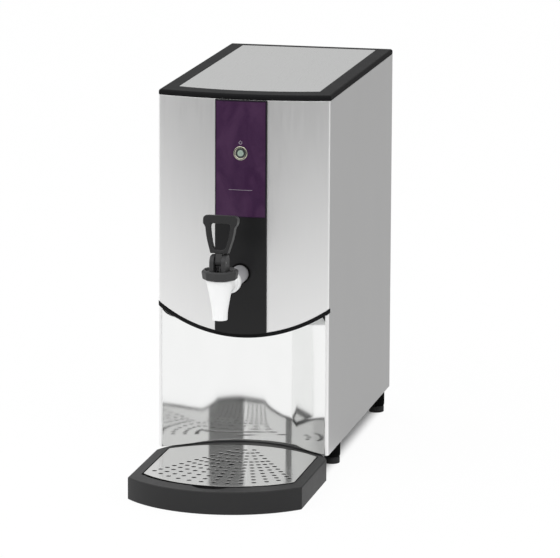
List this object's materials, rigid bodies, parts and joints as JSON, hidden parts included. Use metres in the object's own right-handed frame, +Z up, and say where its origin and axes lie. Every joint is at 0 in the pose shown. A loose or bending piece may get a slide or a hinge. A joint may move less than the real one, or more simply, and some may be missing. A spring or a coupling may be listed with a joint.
{
  "type": "countertop water dispenser",
  "caption": "Tall narrow steel hot water dispenser with a bowed front, lever tap, hollow splash panel, drip tray with perforated grille and levelling feet.",
  "frame": {"origin": "on the counter, at the middle of the part's overall width and depth", "axes": "+Z up, -Y to the front where the user stands, +X to the user's right"},
  "size_m": [0.2068, 0.5874, 0.4575],
  "materials": {
    "brushed_steel": "vertical brushed stainless, satin",
    "mirror_steel": "mirror-polished stainless",
    "satin_steel": "plain satin stainless",
    "zinc": "dull plated steel",
    "chrome": "bright ring",
    "black_moulding": "fine-textured black moulding",
    "black_gloss": "smooth black plastic",
    "purple_film": "mottled purple film",
    "white_plastic": "smooth white plastic",
    "button_plastic": "dark green-black",
    "lens_plastic": "grey-green lens",
    "black_rubber": "matt rubber",
    "silicone": "translucent silicone",
    "foam": "closed-cell foam",
    "circuit_green": "circuit board",
    "red_plastic": "red reset pin",
    "brass": "machined brass",
    "coil_plastic": "blue coil moulding",
    "cream_plastic": "cream nylon"
  },
  "bodies": {
    "case": {"case_wrap": "brushed_steel", "back_panel": "brushed_steel", "lid_plate": "brushed_steel", "splash_panel": "mirror_steel", "base_plate": "satin_steel", "lever_pin": "satin_steel", "tap_spring": "satin_steel", "tank": "satin_steel", "tank_lid": "satin_steel", "clamp_band": "satin_steel", "heating_element": "satin_steel", "temperature_probe": "satin_steel", "level_probe_high": "satin_steel", "level_probe_low": "satin_steel", "back_screw_low_left": "satin_steel", "back_screw_high_left": "satin_steel", "back_screw_low_right": "satin_steel", "back_screw_high_right": "satin_steel", "tap_shank": "zinc", "tank_stand": "zinc", "board_bracket": "zinc", "button_bezel": "chrome", "smile_trim": "black_moulding", "top_frame": "black_moulding", "tap_bonnet": "black_moulding", "limit_thermostat": "black_moulding", "cable_gland": "black_moulding", "gland_nut": "black_moulding", "fascia": "black_gloss", "fascia_overlay": "purple_film", "tap_body": "white_plastic", "shank_washer": "black_rubber", "foot_sleeve_front_left": "black_rubber", "foot_sleeve_rear_left": "black_rubber", "foot_sleeve_front_right": "black_rubber", "foot_sleeve_rear_right": "black_rubber", "outlet_hose": "silicone", "tank_gasket": "silicone", "vent_pipe": "silicone", "fill_hose": "silicone", "insulation_jacket": "foam", "display_board": "circuit_green", "control_board": "circuit_green", "shank_nut": "brass", "element_nut": "brass", "valve_coil": "coil_plastic", "inlet_valve": "cream_plastic", "terminal_block": "cream_plastic"},
    "power_button": {"power_button": "button_plastic", "button_lens": "lens_plastic"},
    "tap_lever": {"tap_lever": "black_gloss"},
    "tap_stem": {"tap_stem": "satin_steel", "seat_cup": "silicone"},
    "drip_tray": {"drip_tray": "black_moulding"},
    "drip_grille": {"drip_grille": "brushed_steel"},
    "reset_button": {"reset_button": "red_plastic"},
    "foot_front_left": {"foot_base_front_left": "black_moulding"},
    "foot_rear_left": {"foot_base_rear_left": "black_moulding"},
    "foot_front_right": {"foot_base_front_right": "black_moulding"},
    "foot_rear_right": {"foot_base_rear_right": "black_moulding"}
  },
  "joints": [
    {"name": "tap_lever_pull", "type": "hinge", "parent": "case", "child": "tap_lever", "pos_m": [0, -0.22765, 0.2805], "axis": [1, 0, 0], "range_deg": [0, 40], "stiffness_Nm_per_rad": 0.35, "springref_deg": -20.05},
    {"name": "tap_stem_lift", "type": "slide", "parent": "case", "child": "tap_stem", "axis": [0, 0, 1], "range_m": [0, 0.006], "deforming": ["tap_spring"]},
    {"name": "button_press", "type": "slide", "parent": "case", "child": "power_button", "axis": [0, 1, 0], "range_m": [0, 0.001], "stiffness_N_per_m": 800, "springref_m": -0.001},
    {"name": "reset_press", "type": "slide", "parent": "case", "child": "reset_button", "axis": [0, -1, 0], "range_m": [0, 0.0015], "stiffness_N_per_m": 1000, "springref_m": -0.001},
    {"name": "drip_tray_slide", "type": "slide", "parent": "case", "child": "drip_tray", "axis": [0, -1, 0], "range_m": [0, 0.15]},
    {"name": "drip_grille_lift", "type": "slide", "parent": "drip_tray", "child": "drip_grille", "axis": [0, 0, 1], "range_m": [0, 0.06]},
    {"name": "foot_front_left_adjust", "type": "slide", "parent": "case", "child": "foot_front_left", "axis": [0, 0, -1], "range_m": [0, 0.01]},
    {"name": "foot_rear_left_adjust", "type": "slide", "parent": "case", "child": "foot_rear_left", "axis": [0, 0, -1], "range_m": [0, 0.01]},
    {"name": "foot_front_right_adjust", "type": "slide", "parent": "case", "child": "foot_front_right", "axis": [0, 0, -1], "range_m": [0, 0.01]},
    {"name": "foot_rear_right_adjust", "type": "slide", "parent": "case", "child": "foot_rear_right", "axis": [0, 0, -1], "range_m": [0, 0.01]}
  ],
  "couplings": [
    {"joint": "tap_stem_lift", "follows": "tap_lever_pull", "m_per_rad": 0.00815}
  ]
}
